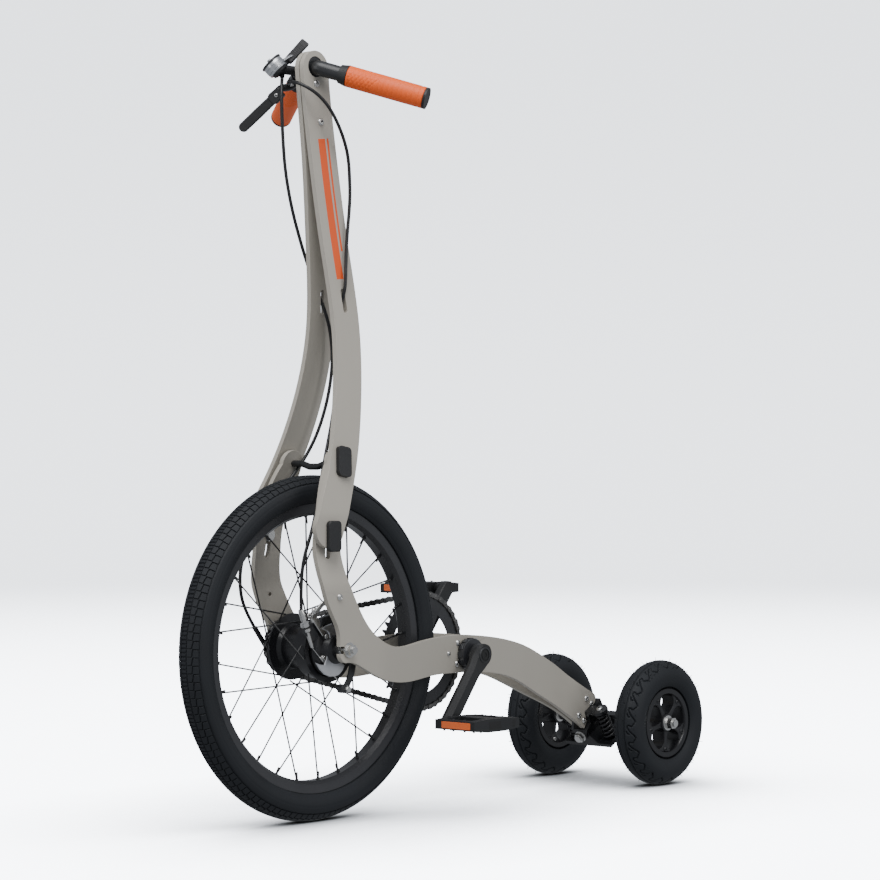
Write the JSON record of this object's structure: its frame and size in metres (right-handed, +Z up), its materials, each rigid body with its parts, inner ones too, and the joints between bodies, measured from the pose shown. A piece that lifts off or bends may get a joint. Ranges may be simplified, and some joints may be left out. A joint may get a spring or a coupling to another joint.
{
  "type": "stand-up tricycle",
  "caption": "Stand-up tricycle with one driven front wheel, bent plate frame, fold-down handlebar column and a sprung lean-to-steer rear axle.",
  "frame": {"origin": "on the floor, under the middle of the outer box", "axes": "-Y forward, +X towards the rider's left, +Z up"},
  "size_m": [0.352, 1.0268, 1.1378],
  "materials": {
    "frame_paint": "satin warm grey powder coat",
    "black_metal": "satin black",
    "black_plastic": "matte moulded",
    "orange_rubber": "soft textured grip",
    "tyre_black": "matte rubber with tread",
    "hub_grey": "satin moulded",
    "aluminium": "satin",
    "steel": "bright zinc",
    "spoke_black": "black",
    "chain_steel": "dark oiled steel",
    "spring_steel": "bright wire",
    "cable_black": "black outer casing"
  },
  "bodies": {
    "chassis": {"chassis_plate_left": "frame_paint", "chassis_plate_right": "frame_paint", "tail_bolts": "steel", "lock_bar": "steel", "pivot_pins": "steel", "bottom_bracket": "aluminium", "front_axle": "steel", "brake_plate": "aluminium", "brake_arm": "aluminium", "torque_strap": "aluminium", "hub_cog": "steel", "chain": "chain_steel", "truck_base": "black_metal", "kingpin": "steel", "shift_box": "black_plastic", "brake_cable": "cable_black", "shift_cable": "cable_black"},
    "column": {"column_plate_left": "frame_paint", "column_plate_right": "frame_paint", "column_bolts": "steel", "latch_covers": "black_plastic", "handlebar": "black_metal", "grip_left": "orange_rubber", "grip_right": "orange_rubber", "bar_collars": "black_plastic", "brake_lever": "black_plastic", "shifter": "aluminium"},
    "front_wheel": {"front_tyre": "tyre_black", "front_rim": "black_metal", "front_spokes": "spoke_black", "front_hub": "aluminium"},
    "crankset": {"crank_spindle": "steel", "crank_left": "black_metal", "crank_right": "black_metal", "chainring": "black_metal"},
    "left_pedal": {"pedal_left": "black_plastic"},
    "right_pedal": {"pedal_right": "black_plastic"},
    "truck": {"truck_hanger": "black_metal", "rear_axle": "steel", "spring_left": "spring_steel", "spring_right": "spring_steel"},
    "left_rear_wheel": {"rear_tyre_left": "tyre_black", "rear_hub_left": "hub_grey"},
    "right_rear_wheel": {"rear_tyre_right": "tyre_black", "rear_hub_right": "hub_grey"}
  },
  "joints": [
    {"name": "column_fold", "type": "hinge", "parent": "chassis", "child": "column", "pos_m": [0, -0.2934, 0.413], "axis": [-1, 0, 0], "range_deg": [0, 90], "deforming": ["brake_cable", "shift_cable"]},
    {"name": "front_wheel_spin", "type": "hinge", "parent": "chassis", "child": "front_wheel", "pos_m": [0, -0.2634, 0.25], "axis": [1, 0, 0], "continuous": true},
    {"name": "crank_spin", "type": "hinge", "parent": "chassis", "child": "crankset", "pos_m": [0, 0.02946, 0.227], "axis": [1, 0, 0], "continuous": true},
    {"name": "left_pedal_spin", "type": "hinge", "parent": "crankset", "child": "left_pedal", "pos_m": [0, -0.05715, 0.13412], "axis": [1, 0, 0], "continuous": true},
    {"name": "right_pedal_spin", "type": "hinge", "parent": "crankset", "child": "right_pedal", "pos_m": [0, 0.11607, 0.31988], "axis": [1, 0, 0], "continuous": true},
    {"name": "truck_steer", "type": "hinge", "parent": "chassis", "child": "truck", "pos_m": [0, 0.351, 0.0737], "axis": [0, 0.848, 0.5299], "range_deg": [-15, 15], "stiffness_Nm_per_rad": 150, "deforming": ["spring_left", "spring_right"]},
    {"name": "left_rear_wheel_spin", "type": "hinge", "parent": "truck", "child": "left_rear_wheel", "pos_m": [0.1122, 0.4134, 0.1], "axis": [1, 0, 0], "continuous": true},
    {"name": "right_rear_wheel_spin", "type": "hinge", "parent": "truck", "child": "right_rear_wheel", "pos_m": [-0.1122, 0.4134, 0.1], "axis": [1, 0, 0], "continuous": true}
  ]
}
